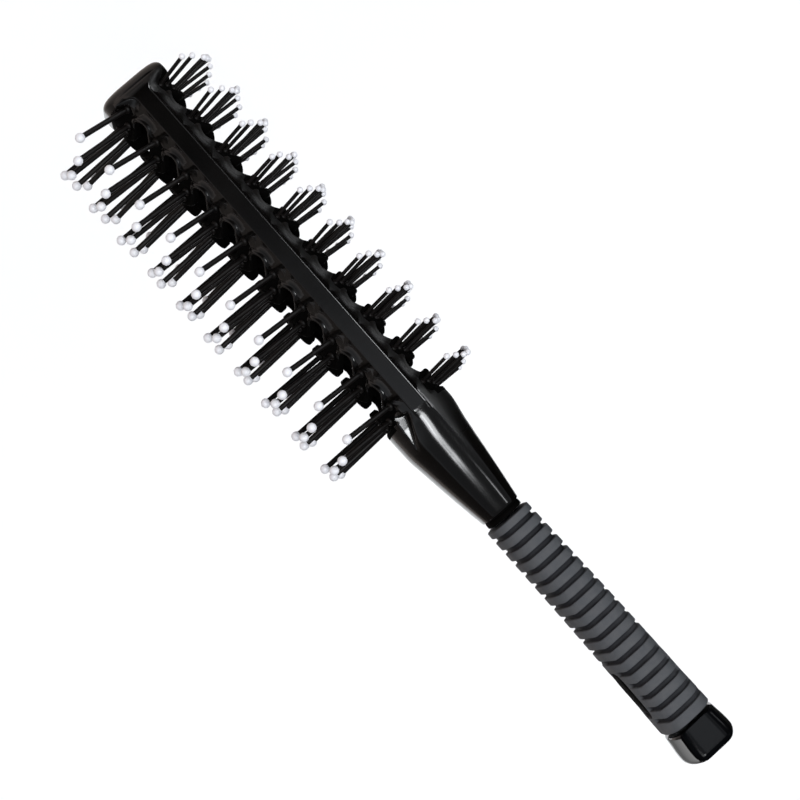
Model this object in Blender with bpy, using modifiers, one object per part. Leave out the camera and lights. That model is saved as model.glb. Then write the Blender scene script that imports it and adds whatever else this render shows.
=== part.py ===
"""Double-sided vent hair brush, unpowered, in metres.

The origin is the middle of the flat end of the handle. +X runs along the brush to the head,
+Y is the face with the long pins, -Y the face with the short pins, and +Z is one of the two rails.
"""

import math

import bmesh
import bpy
import numpy as np
from mathutils import Vector

MM = 0.001

# Clearance between pieces that touch, and how deep joined shapes run into each other
CLEARANCE = 0.35 * MM
JOIN_DEPTH = 1.2 * MM

# Lengths along the brush, from the end of the handle to the end of the head
END_CAP_LENGTH = 10.2 * MM
GRIP_LENGTH = 72.6 * MM
NECK_LENGTH = 33.6 * MM
HEAD_CAP_LENGTH = 3.0 * MM

# Head: an oval tunnel with ten rows of pins on each face, each row leaning a little
ROW_COUNT = 10
ROW_PITCH = 11.5 * MM
ROW_LEAN = 0.085
HEAD_HALF_Y = 9.75 * MM
HEAD_HALF_Z = 14.0 * MM
HEAD_WALL = 2.2 * MM
HEAD_CAP_ROUNDING = 1.6 * MM

# Vents between the rows, and the trough that each row of pins stands in
VENT_WIDTH = 4.9 * MM
VENT_END_MARGIN = 0.6 * MM
TROUGH_DEPTH = 0.6 * MM
LIP_WIDTH = 1.2 * MM

# Rails along both edges of the head, each with a flat raised band, that fade into the neck
RAIL_DEPTH = 1.5 * MM
RAIL_PROUD = 0.25 * MM
RAIL_ROOT = 8.0 * MM
RAIL_FADE = 1.5 * MM
BAND_WIDTH = 4.7 * MM
BAND_HEIGHT = 0.3 * MM

# Pins: count in a row, thickness, ball diameter, and the arc that the balls lie on
LONG_PIN_COUNT = 7
LONG_PIN_DIAMETER = 1.5 * MM
LONG_BALL_DIAMETER = 2.7 * MM
LONG_ARC_RADIUS = 26.7 * MM
LONG_ARC_REACH = 28.2 * MM
LONG_ARC_HALF_ANGLE = math.radians(45.4)
LONG_ZIGZAG = 1.75 * MM
SHORT_PIN_COUNT = 11
SHORT_PIN_DIAMETER = 1.05 * MM
SHORT_BALL_DIAMETER = 1.7 * MM
SHORT_ARC_RADIUS = 23.8 * MM
SHORT_ARC_REACH = 21.2 * MM
SHORT_ARC_HALF_ANGLE = math.radians(46.6)
SHORT_ZIGZAG = 1.05 * MM
PIN_EDGE_MARGIN = 1.3 * MM
PIN_ROOT = 0.8 * MM

# Shape of a ball as shares of its radius: where the pin meets it, and its flat crown
BALL_NECK = 0.9
BALL_CROWN_HEIGHT = 0.85
BALL_CROWN_RADIUS = 0.5

# Grip sleeve: ribbed rubber over the tang, thicker towards the end of the handle
GRIP_RIB_COUNT = 18
GRIP_GROOVE_WIDTH = 1.3 * MM
GRIP_GROOVE_DEPTH = 0.9 * MM
GRIP_HALF_Y_AT_NECK = 6.5 * MM
GRIP_HALF_Y_AT_END = 7.5 * MM
GRIP_DEPTH_RATIO = 1.4
GRIP_WALL = 1.0 * MM
GRIP_SQUARENESS = 2.8

# Neck: a step below the grip's surface, swelling towards the head
NECK_STEP = 0.9 * MM
NECK_TAPER_POWER = 1.4
NECK_STATIONS = 8

# Tang inside the grip, with a narrower end inside the end cap
TANG_SQUARENESS = 2.6
TANG_END_STEP = 1.2 * MM

# Oval windows through both wide faces of the grip, with a smooth border and a core pad inside
WINDOW_LENGTH = 14.1 * MM
WINDOW_WIDTH = 8.0 * MM
BORDER_END_RIM = 4.7 * MM
BORDER_SIDE_RIM = 2.5 * MM
BORDER_FROM_CAP = 2.7 * MM
BORDER_PROUD = 0.05 * MM
PAD_RECESS = 0.5 * MM

# End cap of the handle: a rounded butt with a flat end
END_CAP_OVERHANG = 0.4 * MM
END_CAP_WALL = 3.9 * MM
END_CAP_SHOULDER = 6.6 * MM
END_CAP_FLAT_HALF_Z = 7.0 * MM
END_CAP_EDGE = 2.0 * MM
SHARP_EDGE = math.radians(60)

# Fineness of the round shapes
RING_SIDES = 20
GRIP_SIDES = 16
ARC_STEPS = 6
PANEL_STEPS = 4
RAIL_STEPS = 2
ROUNDING_STEPS = 2
OVAL_SIDES = 24
ARC_SAMPLES = 721
VENT_END_STATIONS = (0.0, 0.3, 1.0)

# Places that follow from the sizes above
GRIP_START = END_CAP_LENGTH
NECK_START = GRIP_START + GRIP_LENGTH
HEAD_START = NECK_START + NECK_LENGTH
HEAD_END = HEAD_START + ROW_COUNT * ROW_PITCH
BRUSH_END = HEAD_END + HEAD_CAP_LENGTH
PANEL_HALF_Z = HEAD_HALF_Z - RAIL_DEPTH
PANEL_EDGE_ANGLE = math.asin(PANEL_HALF_Z / HEAD_HALF_Z)
PIN_BASE_HALF_SPREAD = PANEL_HALF_Z - PIN_EDGE_MARGIN
NECK_HALF_Y = GRIP_HALF_Y_AT_NECK - NECK_STEP
NECK_HALF_Z = NECK_HALF_Y * GRIP_DEPTH_RATIO
BORE_HALF_Y = min(GRIP_HALF_Y_AT_NECK, GRIP_HALF_Y_AT_END) - GRIP_GROOVE_DEPTH - GRIP_WALL
BORE_HALF_Z = BORE_HALF_Y * GRIP_DEPTH_RATIO
TANG_HALF_Y = BORE_HALF_Y - CLEARANCE
TANG_HALF_Z = BORE_HALF_Z - CLEARANCE
TANG_END_HALF_Y = TANG_HALF_Y - TANG_END_STEP
TANG_END_HALF_Z = TANG_HALF_Z - TANG_END_STEP
BORDER_LENGTH = WINDOW_LENGTH + 2 * BORDER_END_RIM
BORDER_WIDTH = WINDOW_WIDTH + 2 * BORDER_SIDE_RIM
WINDOW_X = GRIP_START + BORDER_FROM_CAP + BORDER_LENGTH / 2
END_CAP_HALF_Y = GRIP_HALF_Y_AT_END + END_CAP_OVERHANG
END_CAP_HALF_Z = GRIP_HALF_Y_AT_END * GRIP_DEPTH_RATIO + END_CAP_OVERHANG


def new_collection(name):
    """Adds an empty collection to the scene."""
    collection = bpy.data.collections.new(name)
    bpy.context.scene.collection.children.link(collection)
    return collection


def plastic(name, colour, roughness):
    """Makes a plain moulded finish."""
    material = bpy.data.materials.new(name)
    material.use_nodes = True
    shader = material.node_tree.nodes["Principled BSDF"]
    shader.inputs["Base Color"].default_value = (*colour, 1.0)
    shader.inputs["Roughness"].default_value = roughness
    shader.inputs["Metallic"].default_value = 0.0
    return material


def place(name, mesh, collection, material=None):
    """Adds an object that shows the mesh."""
    obj = bpy.data.objects.new(name, mesh)
    collection.objects.link(obj)
    if material and not mesh.materials:
        mesh.materials.append(material)
    return obj


def cutter(name, mesh, collection):
    """Adds a shape that only cuts or joins others."""
    obj = place(name, mesh, collection)
    obj.hide_render = True
    obj.display_type = "WIRE"
    return obj


def combine(obj, other, operation):
    """Joins the other shape to the object, or cuts it away."""
    modifier = obj.modifiers.new(other.name, "BOOLEAN")
    modifier.operation = operation
    modifier.solver = "EXACT"
    modifier.object = other


def evaluated_mesh(obj):
    """Gives the object's mesh with its modifiers or curve bevel worked out and its caps welded."""
    depsgraph = bpy.context.evaluated_depsgraph_get()
    mesh = bpy.data.meshes.new_from_object(obj.evaluated_get(depsgraph), depsgraph=depsgraph)
    shape = bmesh.new()
    shape.from_mesh(mesh)
    bmesh.ops.remove_doubles(shape, verts=shape.verts, dist=1e-6)
    bmesh.ops.recalc_face_normals(shape, faces=shape.faces)
    shape.to_mesh(mesh)
    shape.free()
    return mesh


def loft(name, rings):
    """Skins a closed solid over rings of points that all have the same count."""
    shape = bmesh.new()
    loops = [[shape.verts.new(point) for point in ring] for ring in rings]
    count = len(rings[0])
    for near, far in zip(loops, loops[1:]):
        for i in range(count):
            j = (i + 1) % count
            shape.faces.new((near[i], near[j], far[j], far[i]))
    shape.faces.new(loops[0])
    shape.faces.new(loops[-1])
    bmesh.ops.recalc_face_normals(shape, faces=shape.faces)
    mesh = bpy.data.meshes.new(name)
    shape.to_mesh(mesh)
    shape.free()
    return mesh


def oval_ring(x, half_y, half_z, squareness=2.0, lean=0.0, sides=RING_SIDES):
    """Gives points round an oval across the brush; a squareness of 2 is an ellipse."""
    ring = []
    for i in range(sides):
        angle = 2 * math.pi * (i + 0.5) / sides
        y = half_y * math.copysign(abs(math.cos(angle)) ** (2 / squareness), math.cos(angle))
        z = half_z * math.copysign(abs(math.sin(angle)) ** (2 / squareness), math.sin(angle))
        ring.append((x + lean * z, y, z))
    return ring


def slab(name, outline, half_y):
    """Makes a flat piece from an outline of (x, z) points, with its thickness along Y."""
    curve = bpy.data.curves.new(name, "CURVE")
    curve.dimensions = "2D"
    curve.fill_mode = "BOTH"
    curve.extrude = half_y
    spline = curve.splines.new("POLY")
    spline.points.add(len(outline) - 1)
    for point, (x, z) in zip(spline.points, outline):
        point.co = (x, z, 0.0, 1.0)
    spline.use_cyclic_u = True
    obj = bpy.data.objects.new(name, curve)
    bpy.context.scene.collection.objects.link(obj)
    mesh = evaluated_mesh(obj)
    bpy.data.objects.remove(obj)
    for vertex in mesh.vertices:
        x, z, y = vertex.co
        vertex.co = (x, -y, z)
    return mesh


def oval_outline(centre_x, length, width):
    """Gives the (x, z) points of an oval in the plane of the grip's wide face."""
    outline = []
    for i in range(OVAL_SIDES):
        angle = 2 * math.pi * i / OVAL_SIDES
        outline.append((centre_x + length / 2 * math.cos(angle), width / 2 * math.sin(angle)))
    return outline


def head_point(angle, offset):
    """Gives (y, z) on the head's outer oval at an angle, moved out along the surface's normal."""
    normal = Vector((math.cos(angle) / HEAD_HALF_Y, math.sin(angle) / HEAD_HALF_Z)).normalized()
    y = HEAD_HALF_Y * math.cos(angle) + offset * normal.x
    z = HEAD_HALF_Z * math.sin(angle) + offset * normal.y
    return y, z


def head_angle_at(arc_from_edge):
    """Gives the angle on the head's oval at a distance along it from the panel's lower edge."""
    angles = np.linspace(-PANEL_EDGE_ANGLE, PANEL_EDGE_ANGLE, ARC_SAMPLES)
    points = np.array([head_point(angle, 0.0) for angle in angles])
    steps = np.linalg.norm(np.diff(points, axis=0), axis=1)
    lengths = np.concatenate(([0.0], np.cumsum(steps)))
    return float(np.interp(arc_from_edge, lengths, angles)), float(lengths[-1])


def panel_stations():
    """Gives (angle, vent opening) pairs along a panel, close together where the vent's end is round."""
    vent_half = VENT_WIDTH / 2
    panel_length = head_angle_at(0.0)[1]
    round_end = [VENT_END_MARGIN + vent_half * share for share in VENT_END_STATIONS]
    start = [0.0] + round_end
    gap = (panel_length - 2 * start[-1]) / PANEL_STEPS
    middle = [start[-1] + gap * i for i in range(1, PANEL_STEPS)]
    distances = start + middle + [panel_length - d for d in reversed(start)]
    stations = []
    for distance in distances:
        into_vent = min(distance, panel_length - distance) - VENT_END_MARGIN
        rest = vent_half - min(max(into_vent, 0.0), vent_half)
        stations.append((head_angle_at(distance)[0], math.sqrt(vent_half ** 2 - rest ** 2)))
    return stations


def panel_mesh(name, side, vent_to_handle, vent_to_head):
    """Makes one row's slice of a face of the head, centred on its row, with its trough and lips."""
    full = (ROW_PITCH - CLEARANCE) / 2
    trough = (ROW_PITCH - VENT_WIDTH) / 2 - LIP_WIDTH
    rings = []
    for angle, opening in panel_stations():
        low = -min(full, ROW_PITCH / 2 - opening) if vent_to_handle else -full
        high = min(full, ROW_PITCH / 2 - opening) if vent_to_head else full
        section = (
            (low, -HEAD_WALL), (high, -HEAD_WALL), (high, 0.0),
            (trough, -TROUGH_DEPTH), (-trough, -TROUGH_DEPTH), (low, 0.0),
        )
        ring = []
        for x, offset in section:
            y, z = head_point(angle, offset)
            ring.append((x + ROW_LEAN * z, side * y, z))
        rings.append(ring)
    return loft(name, rings)


def pin_lines(side, count, arc, zigzag):
    """Gives each pin's base and ball centre in a row, spread like a fan with its balls on an arc."""
    arc_radius, arc_reach, arc_half_angle = arc
    lines = []
    for i in range(count):
        share = 2 * i / (count - 1) - 1
        base_angle = math.asin(PIN_BASE_HALF_SPREAD * share / HEAD_HALF_Z)
        base_y, base_z = head_point(base_angle, -TROUGH_DEPTH - PIN_ROOT)
        fan = arc_half_angle * share
        ball_y = arc_reach - arc_radius * (1 - math.cos(fan))
        ball_z = arc_radius * math.sin(fan)
        x = zigzag * math.cos(2 * math.pi * share)
        base = Vector((x + ROW_LEAN * base_z, side * base_y, base_z))
        ball = Vector((x + ROW_LEAN * ball_z, side * ball_y, ball_z))
        lines.append((base, ball))
    return lines


def pin_mesh(name, lines, pin_diameter, ball_diameter):
    """Makes a row of four-sided pins, each swelling to a ball at its tip."""
    ball = ball_diameter / 2
    pin = pin_diameter / 2
    curve = bpy.data.curves.new(name, "CURVE")
    curve.dimensions = "3D"
    curve.bevel_depth = 1.0
    curve.bevel_resolution = 0
    curve.use_fill_caps = True
    for base, centre in lines:
        along = (centre - base).normalized()
        shape = (
            (base, pin),
            (centre - along * ball * BALL_NECK, pin),
            (centre, ball),
            (centre + along * ball * BALL_CROWN_HEIGHT, ball * BALL_CROWN_RADIUS),
        )
        spline = curve.splines.new("POLY")
        spline.points.add(len(shape) - 1)
        for point, (place_at, radius) in zip(spline.points, shape):
            point.co = (*place_at, 1.0)
            point.radius = radius
    obj = bpy.data.objects.new(name, curve)
    bpy.context.scene.collection.objects.link(obj)
    mesh = evaluated_mesh(obj)
    bpy.data.objects.remove(obj)
    return mesh


def pin_rows(name, side, pins, collection, tools, material):
    """Makes the ten rows of one face; row 1 is at the end of the head."""
    kinds = {"first": (True, False), "middle": (True, True), "last": (False, True)}
    meshes = {}
    for kind, (vent_to_handle, vent_to_head) in kinds.items():
        panel = panel_mesh(f"{name}_{kind}", side, vent_to_handle, vent_to_head)
        body = cutter(f"{name}_{kind}_panel", panel, tools)
        combine(body, pins, "UNION")
        meshes[kind] = evaluated_mesh(body)
        bpy.data.objects.remove(body)
    for row in range(ROW_COUNT):
        kind = "first" if row == 0 else "last" if row == ROW_COUNT - 1 else "middle"
        obj = place(f"{name}_{row + 1:02d}", meshes[kind], collection, material)
        obj.location.x = HEAD_END - ROW_PITCH * (row + 0.5)


def long_pin_rows(collection, tools, material):
    """Thick pins with large balls on the +Y face."""
    arc = (LONG_ARC_RADIUS, LONG_ARC_REACH, LONG_ARC_HALF_ANGLE)
    lines = pin_lines(1, LONG_PIN_COUNT, arc, LONG_ZIGZAG)
    mesh = pin_mesh("long_pins", lines, LONG_PIN_DIAMETER, LONG_BALL_DIAMETER)
    pins = cutter("long_pins", mesh, tools)
    pin_rows("long_pin_row", 1, pins, collection, tools, material)


def short_pin_rows(collection, tools, material):
    """Thin pins with small balls on the -Y face."""
    arc = (SHORT_ARC_RADIUS, SHORT_ARC_REACH, SHORT_ARC_HALF_ANGLE)
    lines = pin_lines(-1, SHORT_PIN_COUNT, arc, SHORT_ZIGZAG)
    mesh = pin_mesh("short_pins", lines, SHORT_PIN_DIAMETER, SHORT_BALL_DIAMETER)
    pins = cutter("short_pins", mesh, tools)
    pin_rows("short_pin_row", -1, pins, collection, tools, material)


def rail_mesh(name, side):
    """Makes one rail: the strip of the head's wall beyond the panels, with a flat raised band on it."""
    speed = math.hypot(HEAD_HALF_Y * math.sin(PANEL_EDGE_ANGLE), HEAD_HALF_Z * math.cos(PANEL_EDGE_ANGLE))
    edge = PANEL_EDGE_ANGLE + CLEARANCE / speed
    band = math.acos(BAND_WIDTH / 2 / HEAD_HALF_Y)
    flank = [edge + (band - edge) * i / RAIL_STEPS for i in range(RAIL_STEPS + 1)]
    top = HEAD_HALF_Z + RAIL_PROUD + BAND_HEIGHT
    half = [head_point(edge, -HEAD_WALL)]
    half += [head_point(angle, RAIL_PROUD) for angle in flank]
    half.append((half[-1][0], top))
    section = half + [(-y, z) for y, z in reversed(half)]
    section.append(head_point(math.pi / 2, -HEAD_WALL))
    rings = [[(HEAD_START - RAIL_ROOT, y, side * (z - RAIL_FADE)) for y, z in section]]
    for x in (HEAD_START, HEAD_END - CLEARANCE):
        rings.append([(x + ROW_LEAN * side * z, y, side * z) for y, z in section])
    return loft(name, rings)


def handle_frame(collection, tools, material):
    """Black moulding: tang, core pads, neck and the fork of two rails."""
    rings = [
        oval_ring(END_CAP_WALL + CLEARANCE, TANG_END_HALF_Y, TANG_END_HALF_Z, TANG_SQUARENESS),
        oval_ring(GRIP_START, TANG_END_HALF_Y, TANG_END_HALF_Z, TANG_SQUARENESS),
        oval_ring(GRIP_START + CLEARANCE, TANG_HALF_Y, TANG_HALF_Z, TANG_SQUARENESS),
        oval_ring(NECK_START, TANG_HALF_Y, TANG_HALF_Z, TANG_SQUARENESS),
    ]
    for i in range(NECK_STATIONS + 1):
        share = i / NECK_STATIONS
        taper = (1 - share) ** NECK_TAPER_POWER
        x = NECK_START + CLEARANCE + (NECK_LENGTH - 2 * CLEARANCE) * share
        half_y = HEAD_HALF_Y - (HEAD_HALF_Y - NECK_HALF_Y) * taper
        half_z = HEAD_HALF_Z - (HEAD_HALF_Z - NECK_HALF_Z) * taper
        squareness = TANG_SQUARENESS + (2.0 - TANG_SQUARENESS) * share
        rings.append(oval_ring(x, half_y, half_z, squareness, ROW_LEAN * share))
    frame = place("handle_frame", loft("handle_frame", rings), collection, material)
    for side, name in ((1, "upper"), (-1, "lower")):
        combine(frame, cutter(f"{name}_rail", rail_mesh(f"{name}_rail", side), tools), "UNION")
    pad_outline = oval_outline(WINDOW_X, WINDOW_LENGTH - 2 * CLEARANCE, WINDOW_WIDTH - 2 * CLEARANCE)
    pads = slab("core_pads", pad_outline, GRIP_HALF_Y_AT_END - PAD_RECESS)
    combine(frame, cutter("core_pads", pads, tools), "UNION")


def grip_rings():
    """Gives the (x, half_y) stations of the ribbed sleeve, with a groove between ribs."""
    length = GRIP_LENGTH - CLEARANCE
    pitch = length / GRIP_RIB_COUNT
    stations = []
    for rib in range(GRIP_RIB_COUNT):
        start = GRIP_START + CLEARANCE / 2 + pitch * rib
        for x, depth in (
            (start + GRIP_GROOVE_WIDTH / 2 if rib else start, 0.0),
            (start + pitch - GRIP_GROOVE_WIDTH / 2 if rib < GRIP_RIB_COUNT - 1 else start + pitch, 0.0),
            (start + pitch, GRIP_GROOVE_DEPTH),
        ):
            if depth and rib == GRIP_RIB_COUNT - 1:
                continue
            share = (x - GRIP_START) / GRIP_LENGTH
            half_y = GRIP_HALF_Y_AT_END + (GRIP_HALF_Y_AT_NECK - GRIP_HALF_Y_AT_END) * share
            stations.append((x, half_y - depth))
    return stations


def grip_sleeve(collection, tools, material):
    """Grey rubber sleeve over the tang, with ribs, two bordered windows and its bore."""
    rings = []
    for x, half_y in grip_rings():
        rings.append(oval_ring(x, half_y, half_y * GRIP_DEPTH_RATIO, GRIP_SQUARENESS, sides=GRIP_SIDES))
    grip = place("grip_sleeve", loft("grip_sleeve", rings), collection, material)
    border = slab(
        "window_border",
        oval_outline(WINDOW_X, BORDER_LENGTH, BORDER_WIDTH),
        GRIP_HALF_Y_AT_END + BORDER_PROUD,
    )
    combine(grip, cutter("window_border", border, tools), "UNION")
    bore_ends = (GRIP_START - JOIN_DEPTH, NECK_START + JOIN_DEPTH)
    bore_rings = [oval_ring(x, BORE_HALF_Y, BORE_HALF_Z, TANG_SQUARENESS) for x in bore_ends]
    combine(grip, cutter("grip_bore", loft("grip_bore", bore_rings), tools), "DIFFERENCE")
    window = slab(
        "grip_window",
        oval_outline(WINDOW_X, WINDOW_LENGTH, WINDOW_WIDTH),
        GRIP_HALF_Y_AT_END + BORDER_PROUD + JOIN_DEPTH,
    )
    combine(grip, cutter("grip_window", window, tools), "DIFFERENCE")


def handle_end_cap(collection, tools, material):
    """Glossy butt that closes the grip: rounded in the brush's wide plane, flat at its end."""
    face = END_CAP_LENGTH - CLEARANCE
    shoulder = END_CAP_LENGTH - END_CAP_SHOULDER
    half = [(face, END_CAP_HALF_Z)]
    for i in range(ARC_STEPS + 1):
        angle = math.pi / 2 * i / ARC_STEPS
        x = shoulder * (1 - math.sin(angle))
        z = END_CAP_FLAT_HALF_Z + (END_CAP_HALF_Z - END_CAP_FLAT_HALF_Z) * math.cos(angle)
        half.append((x, z))
    outline = half + [(x, -z) for x, z in reversed(half)]
    cap = place("handle_end_cap", slab("handle_end_cap", outline, END_CAP_HALF_Y), collection, material)
    edges = cap.modifiers.new("rounded_edges", "BEVEL")
    edges.width = END_CAP_EDGE
    edges.segments = ROUNDING_STEPS
    edges.limit_method = "ANGLE"
    edges.angle_limit = SHARP_EDGE
    socket_rings = []
    for x in (END_CAP_WALL, GRIP_START + JOIN_DEPTH):
        half_y = TANG_END_HALF_Y + CLEARANCE
        half_z = TANG_END_HALF_Z + CLEARANCE
        socket_rings.append(oval_ring(x, half_y, half_z, TANG_SQUARENESS))
    combine(cap, cutter("tang_socket", loft("tang_socket", socket_rings), tools), "DIFFERENCE")


def head_end_cap(collection, material):
    """Oval disc that closes the head and holds the ends of the rails."""
    rim_y = HEAD_HALF_Y + RAIL_PROUD
    rim_z = HEAD_HALF_Z + RAIL_PROUD
    rings = [oval_ring(HEAD_END, rim_y, rim_z, lean=ROW_LEAN)]
    for i in range(ROUNDING_STEPS + 1):
        angle = math.pi / 2 * i / ROUNDING_STEPS
        inset = HEAD_CAP_ROUNDING * (1 - math.cos(angle))
        x = BRUSH_END - HEAD_CAP_ROUNDING * (1 - math.sin(angle))
        lean = ROW_LEAN * (BRUSH_END - x) / HEAD_CAP_LENGTH
        rings.append(oval_ring(x, rim_y - inset, rim_z - inset, lean=lean))
    place("head_end_cap", loft("head_end_cap", rings), collection, material)


for old in list(bpy.data.objects):
    bpy.data.objects.remove(old)

brush = new_collection("vent_brush")
shapers = new_collection("vent_brush_shapers")
black_gloss = plastic("black_gloss", (0.012, 0.012, 0.013), 0.22)
black_satin = plastic("black_satin", (0.018, 0.016, 0.016), 0.38)
grey_rubber = plastic("grey_rubber", (0.095, 0.1, 0.11), 0.75)

handle_frame(brush, shapers, black_gloss)
grip_sleeve(brush, shapers, grey_rubber)
handle_end_cap(brush, shapers, black_gloss)
head_end_cap(brush, black_satin)
long_pin_rows(brush, shapers, black_satin)
short_pin_rows(brush, shapers, black_satin)
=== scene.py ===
import math
import random

import bmesh
import bpy
import numpy as np
from mathutils import Matrix, Vector


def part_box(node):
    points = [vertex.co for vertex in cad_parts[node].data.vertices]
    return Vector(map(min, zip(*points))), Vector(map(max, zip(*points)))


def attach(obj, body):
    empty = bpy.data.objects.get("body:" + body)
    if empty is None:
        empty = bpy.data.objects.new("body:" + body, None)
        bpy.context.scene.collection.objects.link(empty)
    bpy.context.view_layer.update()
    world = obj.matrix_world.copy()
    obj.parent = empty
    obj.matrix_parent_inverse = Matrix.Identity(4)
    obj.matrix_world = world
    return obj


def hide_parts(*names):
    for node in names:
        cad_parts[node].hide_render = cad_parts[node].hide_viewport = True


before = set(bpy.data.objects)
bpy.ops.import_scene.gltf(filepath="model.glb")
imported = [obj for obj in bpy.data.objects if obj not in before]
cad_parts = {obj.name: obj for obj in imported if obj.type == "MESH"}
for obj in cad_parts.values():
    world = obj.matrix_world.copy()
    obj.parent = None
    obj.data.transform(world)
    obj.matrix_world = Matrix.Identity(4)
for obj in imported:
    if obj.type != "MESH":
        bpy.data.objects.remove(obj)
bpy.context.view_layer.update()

bpy.ops.object.select_all(action="DESELECT")

# Head and neck moulding: one black plastic shell, an oval tunnel with nine vents through each wide face
# and a flat band along both narrow edges, that runs on as the neck. It is injection moulded in one shot,
# so the vents have soft rolled lips and the bands fade into the neck.
MM = 0.001
grip_low, grip_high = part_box("grip_sleeve")
cap_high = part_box("head_end_cap")[1]
ROW_COUNT = 10
ROW_PITCH = 11.5 * MM
ROW_LEAN = 0.085
HEAD_HALF_Y = 9.75 * MM
HEAD_HALF_Z = 14.0 * MM
HEAD_END = cap_high.x - 3.0 * MM
HEAD_START = HEAD_END - ROW_COUNT * ROW_PITCH
WALL = 2.2 * MM
WELD = 1e-6
VENT_HALF = 2.6 * MM
VENT_TIP_ANGLE = math.radians(57.5)
TROUGH = -0.6 * MM
RAIL_PROUD = 0.25 * MM
BAND_HALF = 2.35 * MM
BAND_TOP = HEAD_HALF_Z + RAIL_PROUD + 0.3 * MM
FACE_POINTS = 91
FINE_POINTS = 721
CELL_STEPS = 8
HEAD_OVAL = (HEAD_HALF_Y, HEAD_HALF_Z, 2.0, ROW_LEAN, 1.0)
VENT_WAVE = {1: 1.6 * MM, -1: 1.0 * MM}
WAVE_LENGTH = 13.4 * MM
WAVE_END = 10.5 * MM
WAVE_FADE = 3.0 * MM
row_lines = [HEAD_END - ROW_PITCH * (row + 0.5) for row in range(ROW_COUNT)]

# Rounded end of the head, and the neck down to the collar that sits in the grip. The lists of steps are
# in mm: from the last row outwards at both ends, and for the collar from the neck's foot, with a size.
HEAD_TIP = cap_high.x - 0.3 * MM
TIP_ROUND_Y = 1.9 * MM
TIP_ROUND_Z = 4.5 * MM
TIP_DROP = 0.7 * MM
TIP_SQUARE = 4.0
TIP_START = 1.0 * MM
TIP_RISE = (1.8 * MM, 4.4 * MM)
END_STEPS = (0.0, 1.0, 2.0, 2.3, 2.6, 2.9, 3.3, 3.9, 4.5, 5.1)
NECK_HALF_Y = 5.45 * MM
NECK_HALF_Z = 7.84 * MM
NECK_TAPER = 1.3
NECK_FALL = 0.66
NECK_SQUARER = 0.5
NECK_RINGS = 44
NECK_STOP = 0.3 * MM
NECK_RISE = (2.0, 3.0)
NECK_STEPS = (0.0, 0.9, 1.3, 1.7, 2.0, 2.3, 2.6, 2.9, 3.3, 3.6, 4.1, 4.5, 4.9, 5.3)
BAND_FADE_START = 3.6
BAND_FADE = 2.15
RAIL_FADE = (0.6, 1.0)
TUNNEL_END = HEAD_START + 1.0 * MM
BOW = 0.45 * MM
BOW_RISE = (40.0 * MM, 95.0 * MM)
BOW_FALL = (109.0 * MM, HEAD_START)
COLLAR = (
    (0.12, 0.99), (0.0, 0.96), (-0.05, 0.91), (-0.3, 0.9), (-0.45, 0.93), (-1.2, 0.94), (-1.75, 0.93),
)
neck_foot = grip_high.x + 1.9 * MM

# Ledge on the neck's shoulder: where its wall meets its floor, as shares of its height and width
NOTCH_START = row_lines[-1] - 2.3 * MM
NOTCH_LENGTH = 10.5 * MM
NOTCH_LOW = 10.1 * MM
NOTCH_HEIGHT = 3.3 * MM
NOTCH_FALL = 0.08
NOTCH_OPEN = (-0.12, 0.05)
NOTCH_POINT = 1.6
NOTCH_DEPTH = 0.8
NOTCH_FLOOR = 0.7
NOTCH_LIFT = 0.1

# Lip round a vent, from the trough in to the vent's edge and down to the inside of the wall:
# distance from the edge in mm, how far the trough's level has faded, and height in mm
LIP_LIMIT = 0.97
LIP_TIP = 2.0 * MM
LIP = (
    (1.95, 0.0, 0.0), (1.65, 0.3, 0.0), (1.4, 0.7, -0.02), (1.15, 0.95, 0.06), (0.85, 1.0, 0.14),
    (0.55, 1.0, 0.16), (0.28, 1.0, 0.08), (0.08, 1.0, -0.1), (0.0, 1.0, -0.35), (0.0, 1.0, -1.7),
    (0.1, 1.0, -2.0), (0.4, 1.0, -2.2),
)

band_angle = math.acos(BAND_HALF / HEAD_HALF_Y)
fine_angles = np.linspace(-band_angle, band_angle, FINE_POINTS)
fine_steps = np.hypot(HEAD_HALF_Y * np.sin(fine_angles), HEAD_HALF_Z * np.cos(fine_angles))
fine_lengths = (fine_steps[1:] + fine_steps[:-1]) / 2 * np.diff(fine_angles)
fine_arc = np.concatenate(([0.0], np.cumsum(fine_lengths)))
fine_arc -= fine_arc[-1] / 2
band_arc = fine_arc[-1]
EDGE_ARCS = np.array((0.12, 0.35)) * MM
face_arc = np.concatenate((
    [-band_arc], EDGE_ARCS - band_arc,
    np.linspace(-band_arc, band_arc, FACE_POINTS - 4)[1:-1],
    band_arc - EDGE_ARCS[::-1], [band_arc],
))
vent_tip_arc = float(np.interp(VENT_TIP_ANGLE, fine_angles, fine_arc))
trough_arc = vent_tip_arc - 0.2 * MM
rail_arc = vent_tip_arc + 1.1 * MM


def ease(value, low, high):
    """Goes smoothly from 0 at the low value to 1 at the high one."""
    share = min(max((value - low) / (high - low), 0.0), 1.0)
    return share * share * (3 - 2 * share)


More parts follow.
